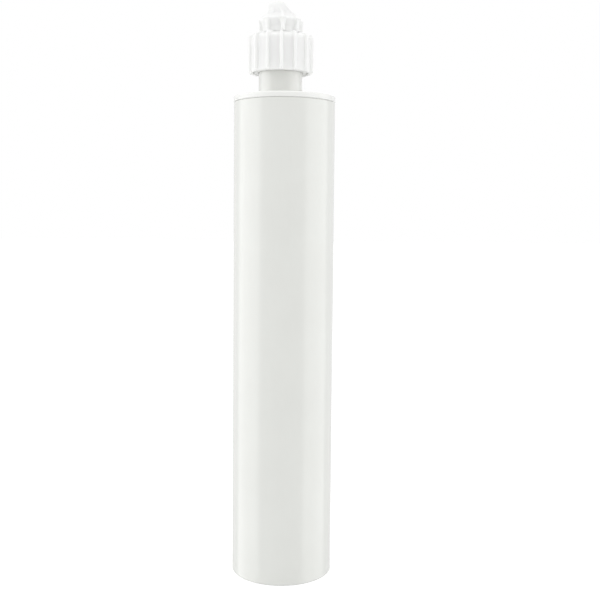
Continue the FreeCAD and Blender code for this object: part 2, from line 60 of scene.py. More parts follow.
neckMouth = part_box("outlet_head")[1][2]
discTop = next(m["pos_m"][2] for m in frame["record"]["mounts"] if m["name"] == "gun_front_plate")
print("frame loaded:", len(cadNodes), "nodes")


# helpers for shader and geometry trees

def feed(tree, socket, value):
    # links the socket to another one, or gives it a fixed value
    if isinstance(value, bpy.types.NodeSocket):
        tree.links.new(value, socket)
    else:
        socket.default_value = value


def addNode(tree, kind, inputs=None, **settings):
    node = tree.nodes.new(kind)
    for key, value in settings.items():
        setattr(node, key, value)
    for key, value in (inputs or {}).items():
        feed(tree, node.inputs[key], value)
    return node


def calc(tree, operation, a, b=0.0, c=0.0):
    # one Math node; a, b and c are numbers or sockets
    return addNode(tree, "ShaderNodeMath", {0: a, 1: b, 2: c}, operation=operation).outputs[0]


def ramp(tree, value, low, high, atLow, atHigh, kind="SMOOTHSTEP"):
    node = addNode(tree, "ShaderNodeMapRange", {
        "Value": value, "From Min": low, "From Max": high, "To Min": atLow, "To Max": atHigh,
    }, interpolation_type=kind)
    return node.outputs["Result"]


def mixColour(tree, factor, a, b):
    return addNode(tree, "ShaderNodeMix", {0: factor, 6: a, 7: b}, data_type="RGBA").outputs[2]


def combine(tree, axes):
    # a vector from numbers or sockets, by axis: 0, 1 or 2
    return addNode(tree, "ShaderNodeCombineXYZ", axes).outputs[0]


def namedSockets(tree, sockets, direction):
    for name, kind, value in sockets:
        socket = tree.interface.new_socket(name=name, in_out=direction, socket_type="NodeSocket" + kind)
        if value is not None:
            socket.default_value = value


def startTree(name, sockets):
    # a geometry tree whose inputs are the piece, its sizes and its material
    tree = bpy.data.node_groups.new(name, "GeometryNodeTree")
    shape = ("Geometry", "Geometry", None)
    namedSockets(tree, [shape, *sockets, ("Material", "Material", None)], "INPUT")
    namedSockets(tree, [shape], "OUTPUT")
    return tree, addNode(tree, "NodeGroupInput").outputs


def endTree(tree, geometry, material):
    # real mesh, not instances, in one material
    whole = addNode(tree, "GeometryNodeRealizeInstances", {"Geometry": geometry}).outputs[0]
    dressed = addNode(tree, "GeometryNodeSetMaterial", {"Geometry": whole, "Material": material}).outputs[0]
    addNode(tree, "NodeGroupOutput", {"Geometry": dressed})
    return tree


def throughTree(piece, tree, values):
    # runs a geometry tree on a piece and keeps its result as the piece's mesh
    modifier = piece.modifiers.new(tree.name, "NODES")
    modifier.node_group = tree
    for item in tree.interface.items_tree:
        if item.in_out == "INPUT" and item.name in values:
            modifier[item.identifier] = values[item.name]
    keepResult(piece)


def keepResult(piece):
    # the mesh that the modifiers give takes the place of the piece's own
    bpy.context.view_layer.update()
    graph = bpy.context.evaluated_depsgraph_get()
    mesh = bpy.data.meshes.new_from_object(piece.evaluated_get(graph))
    mesh.name = piece.name
    piece.modifiers.clear()
    piece.data = mesh


def newPiece(name, mesh=None):
    piece = bpy.data.objects.new(name, mesh or bpy.data.meshes.new(name))
    bpy.context.scene.collection.objects.link(piece)
    return piece


# camera, floor and light

cameraSizes = {
    "place": (0.0083, -0.4525, 0.1775),  # metres
    "tiltDown": 3.94,  # degrees
    "roll": 0.5,  # degrees
    "lens": 54.75,  # mm
    "shiftUp": -0.0345,  # share of the frame
    "nearest": 0.01,  # metres
}

lightSizes = {  # metres; bearings in degrees from the front, to the right
    "worldFill": 0.83,
    "aimHeight": 0.16,  # a panel above this faces down to it, a lower one faces level
    "panels": {
        "leftPanel": {"bearing": -86, "distance": 0.9, "height": -0.03, "size": (1.15, 0.92), "glow": 1.35},
        "rightPanel": {"bearing": 82, "distance": 0.9, "height": -0.03, "size": (1.1, 0.92), "glow": 1.1},
        "topPanel": {"bearing": -10, "distance": 0.35, "height": 1.1, "size": (0.8, 0.8), "glow": 1.1},
    },
}

floorSizes = {
    "halfSide": 6.0,  # metres
    "drop": 0.05 * mm,  # below the sleeve's rim, so that the two faces don't fight
    "paper": (0.8, 0.8, 0.8, 1),
    "glow": 0.45,  # seen by the camera alone, it keeps the ground white
}


def makeCamera(sizes):
    camera = bpy.data.objects.new("camera", bpy.data.cameras.new("camera"))
    bpy.context.scene.collection.objects.link(camera)
    turn = Matrix.Rotation(math.radians(90 - sizes["tiltDown"]), 4, "X")
    turn = turn @ Matrix.Rotation(math.radians(sizes["roll"]), 4, "Z")
    camera.matrix_world = Matrix.Translation(sizes["place"]) @ turn
    camera.data.lens = sizes["lens"]
    camera.data.shift_y = sizes["shiftUp"]
    camera.data.clip_start = sizes["nearest"]
    bpy.context.scene.camera = camera
    bpy.context.scene.view_settings.view_transform = "Standard"


def makePanel(name, sizes, aimHeight):
    # a soft panel that stands at a bearing from the front and faces the tube
    lamp = bpy.data.lights.new(name, "AREA")
    lamp.shape = "RECTANGLE"
    lamp.size, lamp.size_y = sizes["size"]
    lamp.energy = sizes["glow"] * math.pi * lamp.size * lamp.size_y
    bearing = math.radians(sizes["bearing"])
    place = Vector((math.sin(bearing), -math.cos(bearing), 0)) * sizes["distance"]
    place.z = sizes["height"]
    facing = place - Vector((0, 0, min(sizes["height"], aimHeight)))
    panel = bpy.data.objects.new(name, lamp)
    bpy.context.scene.collection.objects.link(panel)
    panel.matrix_world = Matrix.LocRotScale(place, facing.to_track_quat("Z", "Y"), None)


def makeWorld(fill):
    # the camera sees plain white, and the object is lit by a little less
    world = bpy.data.worlds.new("studio")
    bpy.context.scene.world = world
    world.use_nodes = True
    tree = world.node_tree
    tree.nodes.clear()
    path = addNode(tree, "ShaderNodeLightPath")
    strength = ramp(tree, path.outputs["Is Camera Ray"], 0.0, 1.0, fill, 1.0, "LINEAR")
    sky = addNode(tree, "ShaderNodeBackground", {"Color": (1, 1, 1, 1), "Strength": strength})
    addNode(tree, "ShaderNodeOutputWorld", {"Surface": sky.outputs[0]})


def makeFloor(sizes):
    half = sizes["halfSide"]
    corners = [(-half, -half, 0), (half, -half, 0), (half, half, 0), (-half, half, 0)]
    mesh = bpy.data.meshes.new("floor")
    mesh.from_pydata(corners, [], [(0, 1, 2, 3)])
    floor = newPiece("floor", mesh)
    floor.location.z = -sizes["drop"]
    floor.visible_glossy = False
    material = bpy.data.materials.new("floorPaper")
    material.use_nodes = True
    tree = material.node_tree
    tree.nodes.clear()
    path = addNode(tree, "ShaderNodeLightPath")
    paper = addNode(tree, "ShaderNodeBsdfDiffuse", {"Color": sizes["paper"]})
    strength = calc(tree, "MULTIPLY", path.outputs["Is Camera Ray"], sizes["glow"])
    glow = addNode(tree, "ShaderNodeEmission", {"Strength": strength})
    both = addNode(tree, "ShaderNodeAddShader", {0: paper.outputs[0], 1: glow.outputs[0]})
    addNode(tree, "ShaderNodeOutputMaterial", {"Surface": both.outputs[0]})
    mesh.materials.append(material)


makeCamera(cameraSizes)
makeWorld(lightSizes["worldFill"])
makeFloor(floorSizes)
for panelName, panelSizes in lightSizes["panels"].items():
    makePanel(panelName, panelSizes, lightSizes["aimHeight"])
print("camera, floor and light ready")


# materials: shared shader groups, then one material for each slot

plasticTexture = {  # texture scales: the larger, the finer
    "cloud": 38.0, "flow": 900.0, "grain": 2600.0, "spots": 420.0, "nicks": 160.0,
}


def shaderGroup(name, sockets, results):
    tree = bpy.data.node_groups.new(name, "ShaderNodeTree")
    namedSockets(tree, sockets, "INPUT")
    namedSockets(tree, results, "OUTPUT")
    return tree, addNode(tree, "NodeGroupInput").outputs, addNode(tree, "NodeGroupOutput").inputs


def scaledPlace(tree, place, scale):
    return addNode(tree, "ShaderNodeVectorMath", {0: place, 1: scale}, operation="MULTIPLY").outputs[0]


def noise(tree, place, scale, detail=2.0, roughness=0.5):
    return addNode(tree, "ShaderNodeTexNoise", {
        "Vector": place, "Scale": scale, "Detail": detail, "Roughness": roughness}).outputs["Fac"]


def addShare(tree, total, part, share):
    # the total, plus a share of the part
    return calc(tree, "ADD", total, calc(tree, "MULTIPLY", part, share))


def mouldedGroup(scales):
    # moulded or drawn plastic: cloudy colour, fine grain, flow lines and a few rubbed spots
    tree, given, result = shaderGroup("mouldedPlastic", [
        ("Place", "Vector", None),
        ("Light", "Color", (0.8, 0.8, 0.8, 1)), ("Dark", "Color", (0.7, 0.7, 0.7, 1)),
        ("Roughness", "Float", 0.3), ("Grain", "Float", 1.0),
        ("Flow Lines", "Float", 0.0), ("Rubbed", "Float", 0.0),
    ], [("Color", "Color", None), ("Roughness", "Float", None), ("Height", "Float", None)])
    place = given["Place"]
    cloud = noise(tree, place, scales["cloud"], 3.0)
    flow = noise(tree, scaledPlace(tree, place, (1.0, 1.0, 0.03)), scales["flow"])
    grain = noise(tree, place, scales["grain"], 2.0, 0.6)
    spots = ramp(tree, noise(tree, place, scales["spots"], 4.0, 0.65), 0.62, 0.75, 0.0, 1.0)
    nicks = noise(tree, scaledPlace(tree, place, (1.0, 1.0, 0.35)), scales["nicks"])
    nicks = ramp(tree, nicks, 0.6, 0.72, 0.0, 1.0)
    uneven = calc(tree, "ADD", calc(tree, "MULTIPLY", nicks, 0.7), 0.3)
    rubbed = calc(tree, "MULTIPLY", given["Rubbed"], uneven)

    shade = ramp(tree, cloud, 0.3, 0.7, 0.0, 0.8)
    shade = addShare(tree, addShare(tree, shade, spots, 0.12), rubbed, 1.1)
    colour = mixColour(tree, calc(tree, "MINIMUM", shade, 1.0), given["Light"], given["Dark"])
    rough = calc(tree, "ADD", given["Roughness"], ramp(tree, cloud, 0.3, 0.7, -0.025, 0.025, "LINEAR"))
    rough = addShare(tree, addShare(tree, rough, spots, 0.04), rubbed, 0.2)
    height = calc(tree, "MULTIPLY", calc(tree, "MULTIPLY", grain, given["Grain"]), 0.5)
    height = addShare(tree, height, flow, given["Flow Lines"])
    height = calc(tree, "SUBTRACT", height, calc(tree, "MULTIPLY", rubbed, 0.8))
    for name, value in (("Color", colour), ("Roughness", rough), ("Height", height)):
        tree.links.new(value, result[name])
    return tree


def bandsGroup():
    # a mask of three soft bands round the axis, where rims and edges are handled and rubbed
    tree, given, result = shaderGroup("rubbedBands", [
        ("Height", "Float", None), ("Low", "Float", 0.0), ("Middle", "Float", 0.1), ("High", "Float", 0.2),
        ("Reach", "Float", 0.002),
    ], [("Mask", "Float", None)])
    mask = 0.0
    for name in ("Low", "Middle", "High"):
        aside = calc(tree, "ABSOLUTE", calc(tree, "SUBTRACT", given["Height"], given[name]))
        band = ramp(tree, aside, 0.0, given["Reach"], 1.0, 0.0)
        mask = calc(tree, "MAXIMUM", band, mask)
    tree.links.new(mask, result["Mask"])
    return tree


plasticGroup = mouldedGroup(plasticTexture)
edgeGroup = bandsGroup()


def startMaterial(name):
    material = bpy.data.materials.new(name)
    material.use_nodes = True
    tree = material.node_tree
    place = addNode(tree, "ShaderNodeTexCoord").outputs["Object"]
    return material, tree, tree.nodes["Principled BSDF"], place


def useGroup(tree, group, inputs):
    return addNode(tree, "ShaderNodeGroup", inputs, node_tree=group).outputs


def dress(tree, shader, colour, roughness, height, strength, depth):
    # colour and roughness, and a bump of that depth
    bump = addNode(tree, "ShaderNodeBump", {"Height": height, "Strength": strength, "Distance": depth})
    values = {"Base Color": colour, "Roughness": roughness, "Normal": bump.outputs["Normal"]}
    for name, value in values.items():
        tree.links.new(value, shader.inputs[name])


def blendColours(tree, looks, a, b):
    # from the dark colour to the light one, by the mean of two patterns
    shade = calc(tree, "MULTIPLY", calc(tree, "ADD", a, b), 0.5)
    return mixColour(tree, shade, (*looks["dark"], 1), (*looks["light"], 1))


def plastic(name, looks):
    # one moulded plastic from the shared groups; looks holds what differs
    material, tree, shader, place = startMaterial(name)
    tall = addNode(tree, "ShaderNodeSeparateXYZ", {0: place}).outputs[2]
    low, middle, high = looks["edges"]
    edges = useGroup(tree, edgeGroup, {
        "Height": tall, "Low": low, "Middle": middle, "High": high, "Reach": looks["edgeReach"]})
    surface = useGroup(tree, plasticGroup, {
        "Place": place, "Light": (*looks["light"], 1), "Dark": (*looks["dark"], 1),
        "Roughness": looks["roughness"], "Grain": looks["grain"], "Flow Lines": looks["flowLines"],
        "Rubbed": calc(tree, "MULTIPLY", edges["Mask"], looks["rubbed"])})
    colour = surface["Color"]
    coat = looks.get("coat", 0.0)
    if "neckFrom" in looks:  # the neck is painted darker than the disc, painted shade where the cap above shades it, and the coat is on the neck alone
        neck = ramp(tree, tall, looks["neckFrom"], looks["neckFrom"] + looks["neckFade"], 0.0, 1.0)
        colour = mixColour(tree, neck, colour, (*looks["neck"], 1))
        coat = calc(tree, "MULTIPLY", neck, coat)
    feed(tree, shader.inputs["Coat Weight"], coat)
    dress(tree, shader, colour, surface["Roughness"], surface["Height"], looks["bump"], 0.05 * mm)
    shader.inputs["IOR"].default_value = 1.5
    shader.inputs["Sheen Weight"].default_value = looks.get("sheen", 0.0)
    shader.inputs["Coat Roughness"].default_value = 0.22
    if looks["glowDepth"]:
        shader.inputs["Subsurface Weight"].default_value = 1.0
        shader.inputs["Subsurface Radius"].default_value = (1.0, 1.0, 1.0)
        shader.inputs["Subsurface Scale"].default_value = looks["glowDepth"]
    return material


def foam(name, looks):
    # closed-cell foam: small round pores
    material, tree, shader, place = startMaterial(name)
    cells = addNode(tree, "ShaderNodeTexVoronoi", {"Vector": place, "Scale": looks["cells"]})
    pores = ramp(tree, cells.outputs["Distance"], 0.0, 0.5, 0.0, 1.0)
    cloud = noise(tree, place, looks["cloud"], 3.0)
    rough = ramp(tree, cloud, 0.3, 0.7, *looks["roughness"], "LINEAR")
    dress(tree, shader, blendColours(tree, looks, pores, cloud), rough, pores, 0.6, 0.1 * mm)
    return material


def film(name, looks):
    # thin film drawn tight over paste: glossy, with fine creases along the bag
    material, tree, shader, place = startMaterial(name)
    creases = noise(tree, scaledPlace(tree, place, (1.0, 1.0, 0.12)), looks["creases"], 5.0, 0.6)
    patches = noise(tree, place, looks["patches"], 3.0)
    rough = ramp(tree, patches, 0.3, 0.7, *looks["roughness"], "LINEAR")
    dress(tree, shader, blendColours(tree, looks, creases, patches), rough, creases, 0.5, 0.3 * mm)
    shader.inputs["Coat Weight"].default_value = 0.6
    shader.inputs["Coat Roughness"].default_value = 0.12
    return material


def wire(name, looks):
    # drawn aluminium wire with die lines and dull spots
    material, tree, shader, place = startMaterial(name)
    lines = noise(tree, scaledPlace(tree, place, (0.2, 0.2, 1.0)), looks["lines"], 3.0)
    spots = noise(tree, place, looks["spots"], 3.0)
    rough = ramp(tree, spots, 0.3, 0.7, *looks["roughness"], "LINEAR")
    dress(tree, shader, blendColours(tree, looks, lines, spots), rough, lines, 0.4, 0.04 * mm)
    shader.inputs["Metallic"].default_value = 1.0
    return material


# edges are the heights of the rims and corners that get rubbed, and cells, cloud, creases, patches,
# lines and spots are texture scales
materials = {
    "sleeve_plastic": plastic("sleevePlastic", {
        "light": (0.785, 0.795, 0.762), "dark": (0.765, 0.773, 0.74), "roughness": 0.215, "sheen": 0.25,
        "coat": 0.4, "grain": 0.3, "flowLines": 0.35, "bump": 0.35, "rubbed": 0.35, "glowDepth": 0,
        "edges": (sleeveEnds[0][2], sleeveEnds[0][2], sleeveEnds[1][2]), "edgeReach": 1.6 * mm}),
    "head_plastic": plastic("headPlastic", {
        "light": (0.885, 0.892, 0.87), "dark": (0.867, 0.873, 0.85), "roughness": 0.22, "sheen": 0.5,
        # the neck's colour is painted shade: darker where the cap above shades the neck
        "coat": 1.0, "neck": (0.785, 0.79, 0.762), "neckFrom": discTop + 0.4 * mm, "neckFade": 1.2 * mm,
        "grain": 0.8, "flowLines": 0.0, "bump": 0.4, "rubbed": 0.3, "glowDepth": 0.8 * mm,
        "edges": (sleeveEnds[1][2], discTop - 0.9 * mm, neckMouth), "edgeReach": 0.8 * mm}),
    "cap_plastic": plastic("capPlastic", {
        "light": (0.905, 0.91, 0.90), "dark": (0.885, 0.89, 0.878), "roughness": 0.45,
        "grain": 0.9, "flowLines": 0.0, "bump": 0.4, "rubbed": 0.25, "glowDepth": 1.6 * mm,
        "edges": (capFoot.z, capFoot.z + 19.5 * mm, capTip.z), "edgeReach": 1.2 * mm}),
    "piston_plastic": plastic("pistonPlastic", {
        "light": (0.74, 0.745, 0.71), "dark": (0.69, 0.695, 0.66), "roughness": 0.36,
        "grain": 1.0, "flowLines": 0.0, "bump": 0.5, "rubbed": 0.5, "glowDepth": 0,
        "edges": (pistonEnds[0][2], pistonEnds[0][2] + 2.5 * mm, pistonEnds[1][2]), "edgeReach": 1.2 * mm}),
    "seal_foam": foam("sealFoam", {
        "light": (0.82, 0.82, 0.79), "dark": (0.66, 0.66, 0.63), "roughness": (0.75, 0.9),
        "cells": 2200.0, "cloud": 90.0}),
    "resin_film": film("resinFilm", {
        "light": (0.80, 0.775, 0.69), "dark": (0.70, 0.67, 0.58), "roughness": (0.19, 0.32),
        "creases": 320.0, "patches": 60.0}),
    "hardener_film": film("hardenerFilm", {
        "light": (0.05, 0.05, 0.055), "dark": (0.02, 0.02, 0.024), "roughness": (0.17, 0.3),
        "creases": 320.0, "patches": 60.0}),
    "clip_wire": wire("clipWire", {
        "light": (0.80, 0.81, 0.82), "dark": (0.62, 0.63, 0.65), "roughness": (0.22, 0.42),
        "lines": 2400.0, "spots": 700.0}),
}
for nodeName, node in cadNodes.items():
    slotName = next(part["material_slot"] for part in frame["record"]["subparts"] if part["node"] == nodeName)
    for slot in node.material_slots:
        slot.material = materials[slotName]
print("materials ready:", len(materials))


# the screw cap

capSizes = {  # mm, out from the cap's axis and up from its lower edge; phases and flanks in degrees
    # skirt and shoulder
    "panel": 14.9, "cornerHeight": 17.5, "cornerRound": 2.6, "shoulderHeight": 18.3,
    # ring, dome under its hood, and nose
    "foot": 11.1, "footTop": 18.7, "core": 9.1, "coveHeight": 21.9, "hood": 10.45, "hoodHeight": 25.0,
    "step": 7.0, "stepHeight": 28.1, "noseFoot": 5.3, "noseFootHeight": 30.8,
    "noseTop": 3.5, "noseRound": 2.2, "height": 34.7, "lean": 1.7, "tipStraight": 1.0,
    # grip ribs
    "ribCount": 14, "ribPhase": 15.4, "ribWidth": 1.3, "ribSoft": 0.28, "ribOut": 1.4, "ribLift": 0.9,
    "ribRound": 2.5, "ribCrestOut": 0.4, "ribRise": 0.5, "ribFootLift": 0.2,
    "ribFlanks": (1.3, 1.8, 2.15, 2.5, 2.85, 3.3),
    # fins, which widen into arches at the hood and at their roots
    "finCount": 8, "finPhase": 6.8, "finWidth": 1.7, "finSoft": 0.3, "finOut": 0.5, "finCorner": 25.6,
    "finRound": 1.2, "finFootLift": 0.05, "finTipOut": 0.05,
    "finFlanks": (3.2, 4.0, 4.7, 5.4, 6.1, 6.9),
    "archWidth": 2.0, "archHeight": 2.8, "archFade": 1.5, "rootWidth": 0.5, "rootHeight": 1.0,
    # inside: skirt, inner sleeve, roof and the dome's hollow
    "skirtInner": 13.45, "innerSleeve": 12.75, "bore": 10.95, "sleeveRecess": 0.15, "coring": 15.2,
    "roof": 15.6, "hollow": 7.4, "hollowShoulder": 25.7, "hollowNeck": 5.15, "hollowNeckHeight": 29.2,
    "hollowTip": 3.2, "hollowTop": 32.1,
    # webs and thread
    "webCount": 6, "webWidth": 1.2, "webRecess": 2.0, "webSink": 0.3,
    "threadPitch": 3.0, "threadDepth": 0.95, "threadFoot": 2.2, "threadCrest": 0.9, "threadTurns": 3.6,
    "threadStart": 3.6, "threadSink": 0.1, "threadFade": 0.07,
    # even turns of the shell's mesh, before the close ones at the flanks
    "turnSteps": 216,
}


def capOutlines(s):
    # the plain outline and those of a rib and a fin, corner by corner: (radius, height, rounding)
    inside = [
        (s["hollowTip"], s["hollowTop"], 0.8),
        (s["hollowNeck"], s["hollowNeckHeight"], 1.5),
        (s["hollow"], s["hollowShoulder"], 1.0),
        (s["hollow"], s["roof"], 0.3),
        (s["bore"], s["roof"], 0.3),
        (s["bore"], s["sleeveRecess"], 0.3),
        (s["innerSleeve"], s["sleeveRecess"], 0.3),
        (s["innerSleeve"], s["coring"], 0.4),
        (s["skirtInner"], s["coring"], 0.4),
        (s["skirtInner"], 0, 0.3),
    ]
    skirt = [
        (s["panel"], 0, 0.5),
        (s["panel"], s["cornerHeight"], s["cornerRound"]),
        (s["foot"], s["shoulderHeight"], 0.4),
        (s["foot"], s["footTop"], 0.35),
    ]
    dome = [
        (s["core"], s["footTop"], 0.6),
        (s["core"], s["coveHeight"], 2.4),
        (s["hood"], s["hoodHeight"], 0.6),
        (s["hood"], s["finCorner"], 0.8),
        (s["step"], s["stepHeight"], 1.4),
        (s["noseFoot"], s["noseFootHeight"], 1.0),
        (s["noseTop"], s["height"], s["noseRound"]),
    ]
    ribTop, finTop = s["panel"] + s["ribOut"], s["hood"] + s["finOut"]
    crest, crestHeight = s["foot"] + s["ribCrestOut"], s["shoulderHeight"] + s["ribRise"]
    rib = [
        (ribTop, 0, 1.1),
        (ribTop, s["cornerHeight"] + s["ribLift"], s["ribRound"]),
        (crest, crestHeight, 1.0),
        ((crest + s["core"]) / 2, (crestHeight + s["footTop"]) / 2, 0.3),
        (s["core"], s["footTop"] + s["ribFootLift"], 0.3),
    ]
    fin = [
        (finTop, s["footTop"] + s["finFootLift"], 0.05),
        (finTop, s["coveHeight"], 0.1),
        (finTop, s["hoodHeight"], 0.1),
        (finTop, s["finCorner"], s["finRound"]),
        (s["step"] + s["finOut"], s["stepHeight"], 1.4),
        (s["noseFoot"] + s["finTipOut"], s["noseFootHeight"], 1.0),
    ]
    # a rib stands in for the skirt and the dome's first corner, a fin for all of the dome but the tip
    return inside + skirt + dome, inside + rib + dome[1:], inside + skirt + fin + dome[-1:]


def roundedOutline(corners, arcSteps=5, runSteps=3, leastReach=0.03):
    # points along the corners, each rounded by an arc; with as many corners, outlines match row by row
    points = np.array([corner[:2] for corner in corners], float)
    along = np.diff(points, axis=0)
    lengths = np.linalg.norm(along, axis=1)
    along /= lengths[:, None]
    arcs = []
    for i, (_, _, rounding) in enumerate(corners):
        before = along[max(i - 1, 0)]
        after = along[min(i, len(along) - 1)]
        if i in (0, len(corners) - 1):  # the ends meet the axis at a right angle
            before = np.array([1.0, 0]) if i == 0 else before
            after = np.array([-1.0, 0]) if i else after
        half = math.acos(max(-1.0, min(1.0, float(before @ after)))) / 2
        reach = max(rounding * math.tan(half), leastReach)
        start, end, weight = points[i] - before * reach, points[i] + after * reach, math.cos(half)
        t = np.linspace(0, 1, arcSteps + 1)[:, None]
        blend = (1 - t) ** 2 + 2 * weight * t * (1 - t) + t ** 2
        arcs.append(((1 - t) ** 2 * start + 2 * weight * t * (1 - t) * points[i] + t ** 2 * end) / blend)
    rows = [arcs[0]]
    for last, arc in zip(arcs, arcs[1:]):
        t = np.linspace(0, 1, runSteps + 1)[1:-1, None]
        rows += [last[-1] * (1 - t) + arc[0] * t, arc]
    return np.concatenate(rows)


def gradedTurns(steps, groups, closest=0.003):
    # angles round the axis: even steps, with close ones at both flanks of every rib of each group
    angles = [i * 2 * math.pi / steps for i in range(steps)]
    for count, phase, offsets in groups:
        for i in range(count):
            middle = math.radians(phase) + i * 2 * math.pi / count
            angles += [middle + side * math.radians(offset) for side in (-1, 1) for offset in offsets]
    angles = sorted(angle % (2 * math.pi) for angle in angles)
    kept = [angles[0]]
    for angle in angles[1:]:
        if angle - kept[-1] > closest:
            kept.append(angle)
    return np.array(kept)


def spunMesh(name, rows, angles):
    # a closed mesh that turns rows (radius, height) round Z, with a point on the axis at both ends
    columns = len(angles)
    points = np.stack([np.outer(rows[:, 0], np.cos(angles)), np.outer(rows[:, 0], np.sin(angles)),
                       np.repeat(rows[:, 1:2], columns, axis=1)], axis=2).reshape(-1, 3)
    ends = [(0, 0, rows[0, 1]), (0, 0, rows[-1, 1])]
    count = len(points)
    lastRow = (len(rows) - 1) * columns
    faces = []
    for j in range(columns):
        k = (j + 1) % columns
        faces.append((count, k, j))
        faces.append((count + 1, lastRow + j, lastRow + k))
        for low in range(0, lastRow, columns):
            high = low + columns
            faces.append((low + j, low + k, high + k, high + j))
    mesh = bpy.data.meshes.new(name)
    mesh.from_pydata([*map(tuple, points), *ends], [], faces)
    mesh.shade_smooth()
    return mesh


def keepNumbers(mesh, name, values):
    layer = mesh.attributes.new(name, "FLOAT", "POINT")
    layer.data.foreach_set("value", np.asarray(values, np.float32))


def raisedRibsTree():
    # lifts ribs out of a turned shape: how far, and how much wider, stands in its attributes
    tree, given = startTree("raisedRibs", [
        ("Count", "Float", 8.0), ("Width", "Float", 0.001), ("Softness", "Float", 0.0002),
        ("Phase", "Float", 0.0), ("Out", "String", "ribOut"), ("Up", "String", "ribUp"),
        ("Spread", "String", "ribSpread"),
    ])
    out, up, spread = (
        addNode(tree, "GeometryNodeInputNamedAttribute", {"Name": given[name]}).outputs["Attribute"]
        for name in ("Out", "Up", "Spread"))
    place = addNode(tree, "GeometryNodeInputPosition").outputs[0]
    x, y = addNode(tree, "ShaderNodeSeparateXYZ", {0: place}).outputs[:2]
    squares = calc(tree, "ADD", calc(tree, "MULTIPLY", x, x), calc(tree, "MULTIPLY", y, y))
    radius = calc(tree, "MAXIMUM", calc(tree, "SQRT", squares), 1e-6)

    # how far round the axis a point stands from the middle of the nearest rib
    bearing = calc(tree, "SUBTRACT", calc(tree, "ARCTAN2", y, x), given["Phase"])
    turns = calc(tree, "DIVIDE", calc(tree, "MULTIPLY", bearing, given["Count"]), 2 * math.pi)
    share = calc(tree, "FRACT", calc(tree, "ADD", turns, 0.5))
    aside = calc(tree, "ABSOLUTE", calc(tree, "SUBTRACT", share, 0.5))
    angle = calc(tree, "DIVIDE", calc(tree, "MULTIPLY", aside, 2 * math.pi), given["Count"])

    # a rib's width is a smaller angle at its top than at its root, and the flank lies between the two
    half = calc(tree, "ADD", calc(tree, "MULTIPLY", given["Width"], 0.5), spread)
    soft = calc(tree, "DIVIDE", given["Softness"], radius)
    atTop = calc(tree, "SUBTRACT", calc(tree, "DIVIDE", half, calc(tree, "ADD", radius, out)), soft)
    atRoot = calc(tree, "ADD", calc(tree, "DIVIDE", half, radius), soft)
    mask = ramp(tree, angle, atTop, atRoot, 1.0, 0.0)
    pull = calc(tree, "DIVIDE", calc(tree, "MULTIPLY", out, mask), radius)
    shift = combine(tree, {
        0: calc(tree, "MULTIPLY", x, pull),
        1: calc(tree, "MULTIPLY", y, pull),
        2: calc(tree, "MULTIPLY", up, mask)})
    moved = addNode(tree, "GeometryNodeSetPosition", {"Geometry": given["Geometry"], "Offset": shift})
    return endTree(tree, moved.outputs[0], given["Material"])


def ringTree():
    # thin plates that stand round the axis between two radii
    tree, given = startTree("plateRing", [
        ("Count", "Int", 6), ("Phase", "Float", 0.0), ("Inner", "Float", 0.01), ("Outer", "Float", 0.014),
        ("Bottom", "Float", 0.0), ("Top", "Float", 0.01), ("Thickness", "Float", 0.001),
    ])
    size = combine(tree, {
        0: calc(tree, "SUBTRACT", given["Outer"], given["Inner"]), 1: given["Thickness"],
        2: calc(tree, "SUBTRACT", given["Top"], given["Bottom"])})
    plate = addNode(tree, "GeometryNodeMeshCube", {
        "Size": size, "Vertices X": 4, "Vertices Y": 3, "Vertices Z": 6}).outputs["Mesh"]
    middleOut = calc(tree, "MULTIPLY", calc(tree, "ADD", given["Inner"], given["Outer"]), 0.5)
    middleUp = calc(tree, "MULTIPLY", calc(tree, "ADD", given["Bottom"], given["Top"]), 0.5)
    plate = addNode(tree, "GeometryNodeTransform", {
        "Geometry": plate, "Translation": combine(tree, {0: middleOut, 2: middleUp})}).outputs[0]
    dots = addNode(tree, "GeometryNodePoints", {"Count": given["Count"]}).outputs[0]
    index = addNode(tree, "GeometryNodeInputIndex").outputs[0]
    step = calc(tree, "DIVIDE", 2 * math.pi, given["Count"])
    turn = calc(tree, "ADD", calc(tree, "MULTIPLY", index, step), given["Phase"])
    spin = addNode(tree, "FunctionNodeEulerToRotation", {0: combine(tree, {2: turn})}).outputs[0]
    plates = addNode(tree, "GeometryNodeInstanceOnPoints", {
        "Points": dots, "Instance": plate, "Rotation": spin}).outputs[0]
    return endTree(tree, plates, given["Material"])


